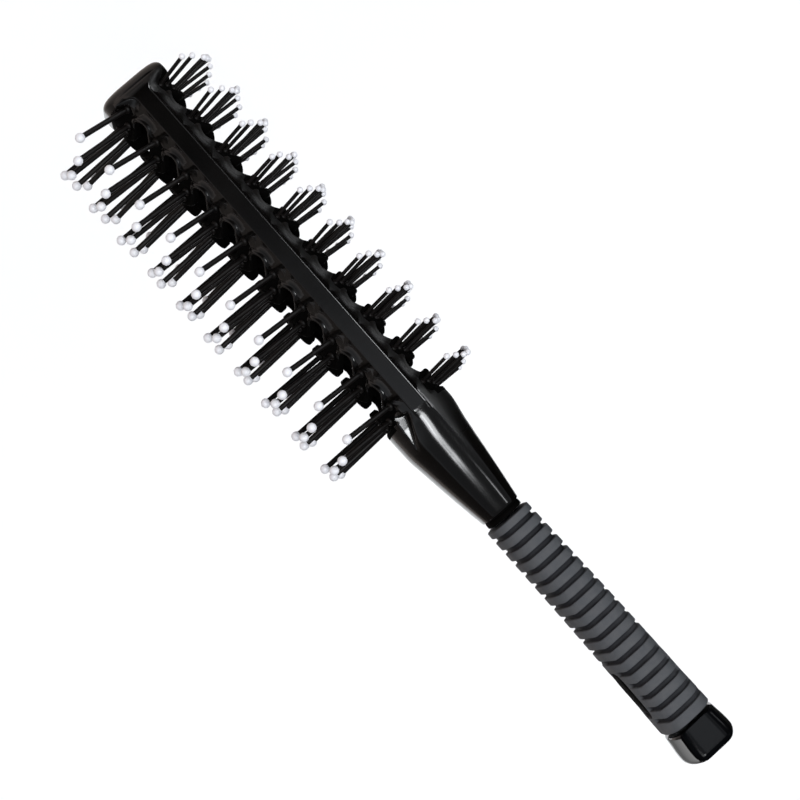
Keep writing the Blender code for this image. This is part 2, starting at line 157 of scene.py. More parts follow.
def notched(x, point, half_y, half_z, square):
    """Cuts a ledge beside each rail where the last trough runs out on to the neck, narrowing to a point."""
    reach = (NOTCH_START - x) / NOTCH_LENGTH
    size = NOTCH_HEIGHT * ease(reach, *NOTCH_OPEN) * (1 - max(reach, 0.0) ** NOTCH_POINT)
    low = NOTCH_LOW * half_z / HEAD_HALF_Z - NOTCH_FALL * (NOTCH_START - x)
    share = (abs(point.z) - low) / size if size > 0 else -1.0
    if point.y < 0 or not 0.0 < share < 1.0:
        return point
    low_y, high_y = (half_y * (1 - (z / half_z) ** square) ** (1 / square) for z in (low, low + size))
    corner_y = low_y + (high_y - low_y) * NOTCH_DEPTH
    corner_z = low + size * NOTCH_LIFT
    if share < NOTCH_FLOOR:
        along_floor = share / NOTCH_FLOOR
        y = low_y + (corner_y - low_y) * along_floor
        z = low + (corner_z - low) * along_floor
    else:
        up_wall = (share - NOTCH_FLOOR) / (1 - NOTCH_FLOOR)
        y = corner_y + (high_y - corner_y) * up_wall
        z = corner_z + (low + size - corner_z) * up_wall
    return Vector((point.x, math.copysign(y, point.y), math.copysign(z, point.z)))


def face_level(arc, ends=0.0):
    """Height of a wide face at a distance round it: the pins' trough, rising to the rails and ends."""
    rise = max(ease(abs(arc), trough_arc, rail_arc), ends)
    return TROUGH + (RAIL_PROUD - TROUGH) * rise


def row_wave(arc, side):
    """How far the rows and vents swing along the head, so that the pins stand in a zigzag."""
    swing = VENT_WAVE[side] * math.cos(2 * math.pi * arc / WAVE_LENGTH)
    return swing * (1 - ease(abs(arc), WAVE_END, band_arc))


def head_point(x, arc, height, side, oval=HEAD_OVAL):
    """Point on the head's oval, leaned and waved as the rows are."""
    half_y, half_z, square, lean, wave = oval
    angle = float(np.interp(arc, fine_arc, fine_angles))
    y = half_y * math.cos(angle) ** (2 / square)
    z = half_z * math.copysign(abs(math.sin(angle)) ** (2 / square), angle)
    steep_y = (y / half_y) ** (square - 1) / half_y
    steep_z = math.copysign(abs(z / half_z) ** (square - 1), z) / half_z
    point = Vector((0.0, y, z)) + Vector((0.0, steep_y, steep_z)).normalized() * height
    return Vector((x + lean * point.z + wave * row_wave(arc, side), side * point.y, point.z))


def vent_cell(shell, x, side):
    """One vent with half a row's width on both sides, as loops from the cell's border in to the vent."""
    half = ROW_PITCH / 2
    straight = vent_tip_arc - VENT_HALF
    along = np.linspace(-half, half, CELL_STEPS + 1)
    border = [(dx, -band_arc) for dx in along[:-1]]
    border += [(half, arc) for arc in face_arc[:-1]]
    border += [(dx, band_arc) for dx in along[:0:-1]]
    border += [(-half, arc) for arc in face_arc[:0:-1]]
    loops = [[head_point(x + dx, arc, face_level(arc), side) for dx, arc in border]]
    for distance, fade, height in LIP:
        loop = []
        for dx, arc in border:
            middle = min(max(arc, -straight), straight)
            outward = Vector((dx, arc - middle))
            reach = min(VENT_HALF + distance * MM, outward.length * LIP_LIMIT)
            outward = outward.normalized() * reach
            at_tip = ease(abs(middle + outward.y), vent_tip_arc - LIP_TIP, vent_tip_arc)
            level = face_level(middle + outward.y) * (1 - fade) + height * MM
            level += (RAIL_PROUD * fade + max(height, 0.0) * MM) * at_tip
            loop.append(head_point(x + outward.x, middle + outward.y, level, side))
        loops.append(loop)
    loops.append([head_point(x + dx, arc, -WALL, side) for dx, arc in border])
    rings = [[shell.verts.new(point) for point in loop] for loop in loops]
    for outer, inner in zip(rings, rings[1:]):
        for i in range(len(border)):
            j = (i + 1) % len(border)
            shell.faces.new((outer[i], outer[j], inner[j], inner[i]))


# Shares across a band where its points lie, and how far up its edge each one is
BAND_ACROSS = (
    -1.0, -0.985, -0.96, -0.93, -0.78, -0.74, -0.68, -0.3, 0.3, 0.68, 0.74, 0.78, 0.93, 0.96, 0.985, 1.0,
)
BAND_RISE = (0.0, 0.35, 0.62, 0.76, 0.965, 0.99, 1.0, 1.0, 1.0, 1.0, 0.99, 0.965, 0.76, 0.62, 0.35, 0.0)


def head_section(x, ends=0.0, proud=1.0, oval=HEAD_OVAL):
    """Outer points round the head at a place along it: long-pin face, upper band, other face, lower band."""
    half_y, half_z, square, lean, wave = oval
    faces = {1: [], -1: []}
    for side, points in faces.items():
        for arc in face_arc:
            point = head_point(x, arc, face_level(arc, ends), side, oval)
            points.append(notched(x, point, half_y + RAIL_PROUD, half_z + RAIL_PROUD, square))
    edge = head_point(x, band_arc, RAIL_PROUD, 1, oval)
    band = []
    for across, rise in tuple(zip(BAND_ACROSS, BAND_RISE))[1:-1]:
        y = -across * edge.y
        z = half_z * (1 - abs(y / half_y) ** square) ** (1 / square) + RAIL_PROUD
        z += (edge.z + (BAND_TOP - edge.z) * rise - z) * proud
        band.append(Vector((x + lean * z, y, z)))
    lower_band = [Vector((2 * x - point.x, -point.y, -point.z)) for point in band]
    return faces[1] + band + faces[-1][::-1] + lower_band


def end_section(x):
    """Outer points round the end of the head, where it turns squarer and rounds over to its tip."""
    share = ease(x, row_lines[0] + TIP_START, HEAD_END)
    ends = ease(x - row_lines[0], *TIP_RISE)
    insets = []
    for radius in (TIP_ROUND_Y, TIP_ROUND_Z):
        into_round = max(radius - (HEAD_TIP - x), 0.0)
        insets.append(radius - math.sqrt(max(radius ** 2 - into_round ** 2, 0.0)))
    half_y = HEAD_HALF_Y - insets[0]
    half_z = HEAD_HALF_Z - TIP_DROP * share - insets[1]
    square = 2.0 + (TIP_SQUARE - 2.0) * share
    wave = 1 - ease(x, row_lines[0], row_lines[0] + WAVE_FADE)
    return head_section(x, ends, 1.0 - share, (half_y, half_z, square, ROW_LEAN * (1 - share), wave))


def tunnel_section(x, wave=1.0):
    """Inner points round the tunnel, one for each outer point."""
    oval = (*HEAD_OVAL[:-1], wave)
    inner_y = HEAD_HALF_Y - WALL
    inner_z = HEAD_HALF_Z - WALL
    faces = {side: [head_point(x, arc, -WALL, side, oval) for arc in face_arc] for side in (1, -1)}
    roof = []
    for across in BAND_ACROSS[1:-1]:
        y = -across * faces[1][-1].y
        z = inner_z * math.sqrt(1 - (y / inner_y) ** 2)
        roof.append(Vector((x + ROW_LEAN * z, y, z)))
    floor = [Vector((x - ROW_LEAN * point.z, -point.y, -point.z)) for point in roof]
    return faces[1] + roof + faces[-1][::-1] + floor


def bend(x):
    """How far the neck and grip bow towards the long pins."""
    return BOW * ease(x, *BOW_RISE) * (1 - ease(x, *BOW_FALL))


def neck_section(x):
    """Outer points round the neck: the head's section drawn in, as far as the grip."""
    share = (x - grip_high.x) / (HEAD_START - grip_high.x)
    drawn = 1 - share
    half_y = HEAD_HALF_Y + (NECK_HALF_Y - HEAD_HALF_Y) * drawn ** NECK_TAPER
    half_z = HEAD_HALF_Z + (NECK_HALF_Z - HEAD_HALF_Z) * drawn * (NECK_FALL + (1 - NECK_FALL) * drawn)
    squareness = 2.0 + NECK_SQUARER * drawn
    rail = RAIL_PROUD * ease(share, *RAIL_FADE)
    spread = math.acos((BAND_HALF / half_y) ** (squareness / 2))
    angles = [float(np.interp(arc, fine_arc, fine_angles)) / band_angle * spread for arc in face_arc]

    def oval(angle, side):
        y = half_y * math.copysign(abs(math.cos(angle)) ** (2 / squareness), math.cos(angle))
        z = half_z * math.copysign(abs(math.sin(angle)) ** (2 / squareness), math.sin(angle))
        out = Vector((y / half_y ** 2, z / half_z ** 2)).normalized() * rail
        point = Vector((x, side * (y + out.x), z + out.y))
        point = notched(x, point, half_y + rail, half_z + rail, squareness)
        return Vector((x + ROW_LEAN * share * point.z, point.y + bend(x), point.z))

    top = []
    for across in BAND_ACROSS[1:-1]:
        angle = math.acos(min(abs(across) * BAND_HALF / half_y, 1.0) ** (squareness / 2))
        top.append(oval(angle, math.copysign(1.0, -across)))
    bottom = [Vector((x - ROW_LEAN * share * p.z, 2 * bend(x) - p.y, -p.z)) for p in top]
    front = [oval(angle, 1) for angle in angles]
    back = [oval(angle, -1) for angle in angles]
    return front + top + back[::-1] + bottom


def skin(shape, sections):
    """Joins rings of points, each of the same count, and gives the rings of vertices."""
    rings = [[shape.verts.new(point) for point in section] for section in sections]
    for near, far in zip(rings, rings[1:]):
        for i in range(len(near)):
            j = (i + 1) % len(near)
            shape.faces.new((near[i], near[j], far[j], far[i]))
    return rings


def linked_piece(name, shape):
    """Adds a shape to the scene as a piece."""
    mesh = bpy.data.meshes.new(name)
    shape.to_mesh(mesh)
    shape.free()
    piece = bpy.data.objects.new(name, mesh)
    bpy.context.scene.collection.objects.link(piece)
    return piece


def finished_piece(name, shape, smooth_angle):
    """Welds a shape, turns its faces outwards and adds it as a piece, smooth but for its sharp edges."""
    bmesh.ops.remove_doubles(shape, verts=shape.verts, dist=WELD)
    bmesh.ops.recalc_face_normals(shape, faces=shape.faces)
    for face in shape.faces:
        face.smooth = True
    piece = linked_piece(name, shape)
    bpy.context.view_layer.objects.active = piece
    piece.select_set(True)
    bpy.ops.object.shade_smooth_by_angle(angle=math.radians(smooth_angle))
    bpy.ops.object.select_all(action="DESELECT")
    return piece


shell = bmesh.new()
for line in row_lines[:-1]:
    for side in (1, -1):
        vent_cell(shell, line - ROW_PITCH / 2, side)
count = len(tunnel_section(HEAD_START))
for near, far in zip(row_lines, row_lines[1:]):
    stations = np.linspace(near, far, CELL_STEPS + 1)
    for make in (head_section, tunnel_section):
        sections = [make(x) for x in stations]
        for start in (FACE_POINTS - 1, FACE_POINTS - 1 + count // 2):
            strip = [[s[(start + i) % count] for i in range(len(BAND_ACROSS))] for s in sections]
            rows = [[shell.verts.new(point) for point in points] for points in strip]
            for a, b in zip(rows, rows[1:]):
                for i in range(len(a) - 1):
                    shell.faces.new((a[i], a[i + 1], b[i + 1], b[i]))
head_rings = [end_section(row_lines[0] + d * MM) for d in END_STEPS]
head_rings += [end_section(HEAD_END), tunnel_section(HEAD_END, 0.0), tunnel_section(row_lines[0])]
skin(shell, head_rings)
neck_rings = []
for d in NECK_STEPS:
    ends = ease(d, *NECK_RISE)
    proud = 1 - max(d - BAND_FADE_START, 0.0) / BAND_FADE
    oval = (*HEAD_OVAL[:-1], 1 - ease(d * MM, 0.0, WAVE_FADE))
    neck_rings.append(head_section(row_lines[-1] - d * MM, ends, proud, oval))
neck_rings += [neck_section(x) for x in np.linspace(HEAD_START, neck_foot + NECK_STOP, NECK_RINGS)]
middle = bend(neck_foot)
foot_ring = neck_section(neck_foot)
for d, size in COLLAR:
    x = neck_foot + d * MM
    neck_rings.append([Vector((x, middle + (p.y - middle) * size, p.z * size)) for p in foot_ring])
rings = skin(shell, neck_rings)
shell.faces.new(rings[-1])
inner = skin(shell, [tunnel_section(row_lines[-1]), tunnel_section(TUNNEL_END, 0.0)])
shell.faces.new(inner[-1])
head_shell = finished_piece("head_shell", shell, smooth_angle=60)


def set_sockets(node, values):
    """Sets inputs of a node by their names."""
    for socket, value in values.items():
        node.inputs[socket].default_value = value


def moulded_finish(name, dark, light, mottle, gloss, wave, shine=0.5):
    """Moulded plastic or rubber: faint mottling of its colour and gloss, and a fine waviness."""
    material = bpy.data.materials.new(name)
    material.use_nodes = True
    nodes = material.node_tree.nodes
    link = material.node_tree.links.new
    shader = nodes["Principled BSDF"]
    set_sockets(shader, {"Specular IOR Level": shine})
    place = nodes.new("ShaderNodeTexCoord")
    cloud = nodes.new("ShaderNodeTexNoise")
    set_sockets(cloud, {"Scale": mottle, "Detail": 4.0})
    link(place.outputs["Object"], cloud.inputs["Vector"])
    tint = nodes.new("ShaderNodeValToRGB")
    for element, position, colour in zip(tint.color_ramp.elements, (0.3, 0.7), (dark, light)):
        element.position = position
        element.color = (*colour, 1.0)
    link(cloud.outputs["Fac"], tint.inputs["Fac"])
    link(tint.outputs["Color"], shader.inputs["Base Color"])
    sheen = nodes.new("ShaderNodeMapRange")
    set_sockets(sheen, {"To Min": gloss[0], "To Max": gloss[1]})
    link(cloud.outputs["Fac"], sheen.inputs["Value"])
    link(sheen.outputs["Result"], shader.inputs["Roughness"])
    grain = nodes.new("ShaderNodeTexNoise")
    set_sockets(grain, {"Scale": wave[0], "Detail": 3.0})
    link(place.outputs["Object"], grain.inputs["Vector"])
    bump = nodes.new("ShaderNodeBump")
    set_sockets(bump, {"Strength": wave[1], "Distance": wave[2]})
    link(grain.outputs["Fac"], bump.inputs["Height"])
    link(bump.outputs["Normal"], shader.inputs["Normal"])
    return material


shell_black = moulded_finish(
    "moulded_black", dark=(0.0009, 0.0007, 0.0006), light=(0.0026, 0.0021, 0.0018), mottle=60.0,
    gloss=(0.11, 0.17), wave=(300.0, 0.05, 0.0002), shine=0.42,
)
tunnel_black = moulded_finish(
    "tunnel_black", dark=(0.001, 0.0009, 0.0008), light=(0.002, 0.0018, 0.0017), mottle=60.0,
    gloss=(0.7, 0.85), wave=(300.0, 0.1, 0.0002), shine=0.03,
)

# One side of the head is duller from use, which fades out along the neck
SATIN_FADE = (2.0 * MM, 24.0 * MM)
SATIN_EDGE = 0.8 * MM
SATIN_ROUGHNESS = 0.5
satin = head_shell.data.attributes.new("satin", "FLOAT", "POINT")
for vertex, share in zip(head_shell.data.vertices, satin.data):
    past_rows = ease(row_lines[-1] - vertex.co.x, *SATIN_FADE)
    share.value = ease(-vertex.co.y, BAND_HALF, BAND_HALF + SATIN_EDGE) * (1 - past_rows)
nodes = shell_black.node_tree.nodes
link = shell_black.node_tree.links.new
worn = nodes.new("ShaderNodeAttribute")
worn.attribute_name = "satin"
duller = nodes.new("ShaderNodeMix")
set_sockets(duller, {"B": SATIN_ROUGHNESS})
link(worn.outputs["Fac"], duller.inputs["Factor"])
link(nodes["Map Range"].outputs["Result"], duller.inputs["A"])
link(duller.outputs["Result"], nodes["Principled BSDF"].inputs["Roughness"])
head_shell.data.materials.append(shell_black)
head_shell.data.materials.append(tunnel_black)

# The tunnel, the troughs and the collar in the grip are left matt
MATT_ENDS = 4.0 * MM
MATT_SKIN = 0.5 * MM
MATT_HALF = {"worn side": 11.0 * MM, "past the rows": 8.6 * MM, "rows": 9.5 * MM}
PAST_ROWS = 1.5 * MM
inner_y, inner_z = HEAD_HALF_Y - MATT_SKIN, HEAD_HALF_Z - MATT_SKIN
for polygon in head_shell.data.polygons:
    centre = polygon.center
    along = centre.x - ROW_LEAN * centre.z
    matt = along < neck_foot
    if row_lines[-1] - MATT_ENDS < along < row_lines[0] + MATT_ENDS:
        past_rows = along < row_lines[-1] - PAST_ROWS
        inward = (centre.y / inner_y) ** 2 + (centre.z / inner_z) ** 2 < 1
        place = "worn side" if centre.y < 0 else "past the rows" if past_rows else "rows"
        matt = inward and not past_rows or abs(centre.z) < MATT_HALF[place]
    polygon.material_index = int(matt)
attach(head_shell, "root")
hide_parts("handle_frame")

# Head end cap: a black plug pressed on to the open end of the tunnel, moulded on its own with a rounded
# rim, and flush with the shell.
FROM_TIP = ((HEAD_TIP - HEAD_END) / MM, 2.3, 1.9, 1.5, 1.1, 0.8, 0.5, 0.3, 0.15, 0.05, 0.0)
CAP_INSET = 1.0 * MM
cap_shape = bmesh.new()
rings = skin(cap_shape, [end_section(HEAD_TIP - distance * MM) for distance in FROM_TIP])
cap_shape.faces.new(rings[0])
crown = cap_shape.faces.new(rings[-1])
bmesh.ops.inset_individual(cap_shape, faces=[crown], thickness=CAP_INSET)
head_cap = finished_piece("head_cap", cap_shape, smooth_angle=40)
head_cap.data.materials.append(shell_black)
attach(head_cap, "root")
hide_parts("head_end_cap")

# Pins: solid black nylon rods moulded into the troughs, each on a small round foot. Seven thick pins stand
# in each row of one face and eleven thin ones in each row of the other, spread like a fan.
PIN_BASE_HALF_SPREAD = 11.2 * MM
PIN_ROOT = TROUGH - 0.8 * MM
PIN_STRAY = 0.3 * MM
FOOT_WIDE = 0.85
FOOT_TALL = 0.5
FOOT_UP = 0.85 * MM
BALL_CLEAR = 0.3
LONG_BALL = 2.7 * MM
SHORT_BALL = 1.7 * MM
chance = random.Random(8)


def pin_lines(side, count, reach, radius, half_angle, zigzag):
    """Foot and tip of every pin on one face, the tips on an arc and a little out of line."""
    lines = []
    for line in row_lines:
        for i in range(count):
            share = 2 * i / (count - 1) - 1
            foot_angle = math.asin(PIN_BASE_HALF_SPREAD * share / HEAD_HALF_Z)
            foot_arc = float(np.interp(foot_angle, fine_angles, fine_arc))
            swing = zigzag * math.cos(2 * math.pi * share)
            foot = head_point(line + swing, foot_arc, PIN_ROOT, side, (*HEAD_OVAL[:-1], 0.0))
            fan = half_angle * share
            y = reach - radius * (1 - math.cos(fan))
            z = radius * math.sin(fan)
            tip = Vector((line + swing + ROW_LEAN * z, side * y, z))
            tip += Vector((chance.uniform(-PIN_STRAY, PIN_STRAY) for axis in range(3)))
            lines.append((foot, tip))
    return lines


def stamp(shape, pattern, place):
    """Adds a copy of a pattern to a shape at a place."""
    copy = pattern.copy()
    copy.transform(place)
    shape.from_mesh(copy)
    bpy.data.meshes.remove(copy)


def pin_set(name, lines, thick, ball):
    """All the pins of one face, copied from one turned pin with a flared foot."""
    bpy.ops.mesh.primitive_cylinder_add(vertices=10, radius=thick / 2, depth=1.0, location=(0.0, 0.0, 0.5))
    pin = bpy.context.active_object
    bpy.ops.object.transform_apply(location=True, rotation=True, scale=True)
    bpy.ops.object.shade_smooth_by_angle(angle=math.radians(60))
    bpy.ops.object.select_all(action="DESELECT")
    bpy.ops.mesh.primitive_uv_sphere_add(segments=10, ring_count=6, radius=1.0)
    boss = bpy.context.active_object
    boss.scale = (thick * FOOT_WIDE, thick * FOOT_WIDE, thick * FOOT_TALL)
    bpy.ops.object.transform_apply(location=True, rotation=True, scale=True)
    bpy.ops.object.shade_smooth()
    shape = bmesh.new()
    for foot, tip in lines:
        along = tip - foot
        turn = along.to_track_quat("Z", "Y").to_matrix().to_4x4()
        stretch = Matrix.Diagonal((1.0, 1.0, along.length - ball * BALL_CLEAR, 1.0))
        stamp(shape, pin.data, Matrix.Translation(foot) @ turn @ stretch)
        stamp(shape, boss.data, Matrix.Translation(foot + along.normalized() * FOOT_UP) @ turn)
    bpy.data.objects.remove(boss)
    bpy.data.objects.remove(pin)
    return linked_piece(name, shape)


pin_black = moulded_finish(
    "pin_black", dark=(0.0015, 0.0012, 0.0012), light=(0.005, 0.0035, 0.003), mottle=250.0,
    gloss=(0.4, 0.55), wave=(1500.0, 0.1, 0.0001), shine=0.2,
)
long_lines = pin_lines(
    side=1, count=7, reach=28.2 * MM, radius=26.7 * MM, half_angle=math.radians(45.4), zigzag=1.75 * MM
)
short_lines = pin_lines(
    side=-1, count=11, reach=21.2 * MM, radius=23.8 * MM, half_angle=math.radians(46.6), zigzag=1.05 * MM
)
long_pins = pin_set("long_pins", long_lines, thick=1.5 * MM, ball=LONG_BALL)
short_pins = pin_set("short_pins", short_lines, thick=1.05 * MM, ball=SHORT_BALL)
for pins, row_name in ((long_pins, "long_pin_row"), (short_pins, "short_pin_row")):
    pins.data.materials.append(pin_black)
    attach(pins, "root")
    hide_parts(*(f"{row_name}_{row + 1:02d}" for row in range(ROW_COUNT)))
bpy.ops.object.select_all(action="DESELECT")

# Pin tips: balls of white nylon moulded on to the end of every pin, so that it glides over the scalp.
# They are glossy and a little milky.


def tip_set(name, lines, ball):
    """A ball on every pin of one face, copied from one."""
    bpy.ops.mesh.primitive_ico_sphere_add(subdivisions=2, radius=ball / 2)
    tip = bpy.context.active_object
    bpy.ops.object.shade_smooth()
    shape = bmesh.new()
    for foot, end in lines:
        turn = (end - foot).to_track_quat("Z", "Y").to_matrix().to_4x4()
        stamp(shape, tip.data, Matrix.Translation(end) @ turn)
    bpy.data.objects.remove(tip)
    return linked_piece(name, shape)


tip_white = moulded_finish(
    "tip_white", dark=(0.9, 0.9, 0.95), light=(0.97, 0.97, 1.0), mottle=500.0,
    gloss=(0.25, 0.4), wave=(800.0, 0.05, 0.0001),
)
long_tips = tip_set("long_pin_tips", long_lines, LONG_BALL)
short_tips = tip_set("short_pin_tips", short_lines, SHORT_BALL)
for tips in (long_tips, short_tips):
    tips.data.materials.append(tip_white)
    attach(tips, "root")
bpy.ops.object.select_all(action="DESELECT")

# Grip sleeve: soft dark grey rubber moulded over the handle's core, with eighteen broad ribs. Towards the
# end a smooth oval border on both wide faces stops the grooves and frames a window.
RIB_COUNT = 18
RIB_SHIFT = 0.45 * MM
GROOVE_DEPTH = 0.95 * MM
GRIP_AROUND = 120
GRIP_HALF_BUTT = 7.5 * MM
GRIP_HALF_NECK = 6.5 * MM
GRIP_DEEPER = 1.4
GRIP_SQUARE = 2.8
GRIP_SLACK = 1e-7
BORDER_HALF_X = 11.75 * MM
BORDER_HALF_Z = 6.5 * MM
BORDER_EDGE = (0.97, 1.06)
WINDOW_X = grip_low.x + 14.5 * MM
WINDOW_SIZE = (15.8 * MM, 10.8 * MM)
WINDOW_CUT_AT = 8.0 * MM
WINDOW_CUT = 4.0 * MM
WINDOW_SQUARE = 5.0

# The grooves sweep towards the neck on the long-pin side, less and less along the grip, but lie square at
# its two ends. On the other side they are shallower, except near the neck.
GROOVE_SWEEP = 1.2 * MM
SWEEP_LEVEL = 1.4
SWEEP_LOSS = 1.27
SWEEP_ENDS = 0.04
SWEEP_ACROSS = 0.64
SHALLOW = 0.4
SHALLOW_LOSS = 0.5
SHALLOW_FADE = (0.5, 0.9)

# One groove: distance along in rib pitches, and share of the full depth
GROOVE_SHAPE = (
    (-0.5, 0.0), (-0.25, 0.0), (-0.205, 0.04), (-0.182, 0.18), (-0.168, 0.5), (-0.152, 0.85), (-0.12, 1.0),
    (0.12, 1.0), (0.152, 0.85), (0.168, 0.5), (0.182, 0.18), (0.205, 0.04), (0.25, 0.0),
)
grip_length = grip_high.x - grip_low.x
rib_pitch = grip_length / RIB_COUNT
groove_depths = []
grip_shape = bmesh.new()
grip_rings = []
for rib in range(RIB_COUNT + 1):
    for along, depth in GROOVE_SHAPE:
        x = grip_low.x + rib_pitch * (rib + along) + (RIB_SHIFT if 0 < rib < RIB_COUNT else 0.0)
        if x < grip_low.x - GRIP_SLACK or x > grip_high.x + GRIP_SLACK:
            continue
        share = (x - grip_low.x) / grip_length
        half_y = GRIP_HALF_BUTT + (GRIP_HALF_NECK - GRIP_HALF_BUTT) * share
        half_z = half_y * GRIP_DEEPER
        sweep = GROOVE_SWEEP * min(1.0, SWEEP_LEVEL - SWEEP_LOSS * share)
        sweep *= ease(min(share, 1 - share), 0.0, SWEEP_ENDS)
        shallow = SHALLOW - SHALLOW_LOSS * ease(share, *SHALLOW_FADE)
        ring = []
        for i in range(GRIP_AROUND):
            angle = 2 * math.pi * (i + 0.5) / GRIP_AROUND
            y = half_y * math.copysign(abs(math.cos(angle)) ** (2 / GRIP_SQUARE), math.cos(angle))
            z = half_z * math.copysign(abs(math.sin(angle)) ** (2 / GRIP_SQUARE), math.sin(angle))
            swept = x + sweep * ease(y / half_y, SWEEP_ACROSS, 1.0)
            into_border = math.hypot((swept - WINDOW_X) / BORDER_HALF_X, z / BORDER_HALF_Z)
            cut = depth * GROOVE_DEPTH * ease(into_border, *BORDER_EDGE)
            cut *= 1 + shallow * min(math.cos(angle), 0.0)
            out = Vector((0.0, y / half_y ** 2, z / half_z ** 2)).normalized()
            ring.append(Vector((swept, y + bend(x), z)) - out * cut)
            groove_depths.append(cut / GROOVE_DEPTH)
        grip_rings.append(ring)
# Painted shade in the grooves: each vertex keeps how deep its groove is, and that darkens the rubber's
# colour
groove_shade = grip_shape.verts.layers.float.new("groove")
rings = skin(grip_shape, grip_rings)
for vertex, depth in zip((v for ring in rings for v in ring), groove_depths):
    vertex[groove_shade] = depth
grip_shape.faces.new(rings[0])
grip_shape.faces.new(rings[-1])
grip = finished_piece("grip", grip_shape, smooth_angle=50)
grip_rubber = moulded_finish(
    "grip_rubber", dark=(0.072, 0.077, 0.085), light=(0.092, 0.094, 0.1), mottle=400.0,
    gloss=(0.62, 0.78), wave=(2500.0, 0.25, 0.0001), shine=0.25,
)

# Painted shade: the rubber's colour is darkened in the grooves, the more the deeper they are. A mix node's
# sockets for colours share their names with others, so they go by number.
MIX_COLOUR_A, MIX_COLOUR_B, MIX_COLOUR_OUT = 6, 7, 2
GROOVE_SHADE_TINT = (0.12, 0.12, 0.14, 1.0)
nodes = grip_rubber.node_tree.nodes
link = grip_rubber.node_tree.links.new
groove = nodes.new("ShaderNodeAttribute")
groove.attribute_name = "groove"
darken = nodes.new("ShaderNodeMix")
darken.data_type = "RGBA"
darken.blend_type = "MULTIPLY"
darken.inputs[MIX_COLOUR_B].default_value = GROOVE_SHADE_TINT
link(groove.outputs["Fac"], darken.inputs["Factor"])
link(nodes["Color Ramp"].outputs["Color"], darken.inputs[MIX_COLOUR_A])
link(darken.outputs[MIX_COLOUR_OUT], nodes["Principled BSDF"].inputs["Base Color"])
grip.data.materials.append(grip_rubber)


def squared(point):
    """Pushes a point on a circle out on to a square with well rounded corners."""
    if point.length == 0:
        return point
    way = point.normalized()
    return point / (abs(way.x) ** WINDOW_SQUARE + abs(way.y) ** WINDOW_SQUARE) ** (1 / WINDOW_SQUARE)


for side in (1, -1):
    bpy.ops.object.select_all(action="DESELECT")
    bpy.ops.mesh.primitive_cylinder_add(
        vertices=64, radius=0.5, depth=WINDOW_CUT, rotation=(math.pi / 2, 0.0, 0.0),
        location=(WINDOW_X, side * WINDOW_CUT_AT, 0.0),
    )
    window = bpy.context.active_object
    for vertex in window.data.vertices:
        vertex.co.xy = squared(vertex.co.xy)
    window.scale = (*WINDOW_SIZE, 1.0)
    cut = grip.modifiers.new("window", "BOOLEAN")
    cut.operation = "DIFFERENCE"
    cut.solver = "EXACT"
    cut.object = window
    bpy.context.view_layer.objects.active = grip
    bpy.ops.object.modifier_apply(modifier="window")
    bpy.data.objects.remove(window)
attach(grip, "root")
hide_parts("grip_sleeve")
bpy.ops.object.select_all(action="DESELECT")

# Core pads: the handle's black core where it shows through the grip's windows. Each is a matt, flat-topped
# pad with well rounded corners, moulded with the core and a little smaller than its window.
PAD_SIZE = (7.5 * MM, 2.0 * MM, 5.2 * MM)
PAD_AT = 5.25 * MM
PAD_FLAT = 4
for side, name in ((1, "front_core_pad"), (-1, "rear_core_pad")):
    bpy.ops.mesh.primitive_uv_sphere_add(segments=48, ring_count=24, radius=1.0)
    pad = bpy.context.active_object
    pad.name = name
    for vertex in pad.data.vertices:
        across = vertex.co.xz
        level = max(1 - across.length ** PAD_FLAT, 0.0) ** (1 / PAD_FLAT)
        vertex.co.y = math.copysign(level, vertex.co.y)
        vertex.co.xz = squared(across)
    pad.scale = PAD_SIZE
    pad.location = (WINDOW_X, side * PAD_AT, 0.0)
    bpy.ops.object.transform_apply(location=True, rotation=True, scale=True)
    bpy.ops.object.shade_smooth()
    pad.data.materials.append(tunnel_black)
    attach(pad, "root")
    bpy.ops.object.select_all(action="DESELECT")

# Handle end cap: a black butt pressed over the end of the core, moulded as a full block that swells a
# little from the grip, draws in towards its two flat faces and ends flat. Its flanks are glossier than
# its faces, and the rounded edges between them are dull.
end_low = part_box("handle_end_cap")[0]
BUTT_HALF_Y = 8.1 * MM
BUTT_HALF_Z = 10.0 * MM
BUTT_OVAL_Z = 13.62 * MM
BUTT_EDGE = 1.4 * MM
BUTT_EDGE_POINTS = 9
BUTT_SIDE_STEPS = 14
BUTT_FACE_SHARES = (0.8, 0.55, 0.3)
BUTT_ROUNDS = (2.8 * MM, 1.8 * MM)
BUTT_INSET = 1.0 * MM
BUTT_SHINE = {"top": 0.45, "rim": 0.2, "edge": 0.03, "flank": 1.0}
FLANK_BELOW = 0.55
LEVEL_ABOVE = 0.999

# Rings from the flat end to the grip, and where the swell and the small step at the grip lie, in mm
BUTT_STEPS = (
    0.0, 0.04, 0.12, 0.25, 0.4, 0.6, 0.85, 1.1, 1.4, 1.8, 2.3, 2.8,
    3.5, 4.5, 5.5, 6.5, 7.5, 8.5, 9.6, 9.8, 9.85,
)
BUTT_SWELL = 0.6 * MM
BUTT_SWELL_AT = (3.5, 10.5)
BUTT_STEP = 0.35 * MM
BUTT_STEP_AT = (9.5, 9.85)
BUTT_FALL = 0.035


def butt_side(z):
    """Half width of the butt at a height: its sides are drawn in towards both flat faces."""
    return BUTT_HALF_Y * math.sqrt(1 - (z / BUTT_OVAL_Z) ** 2)


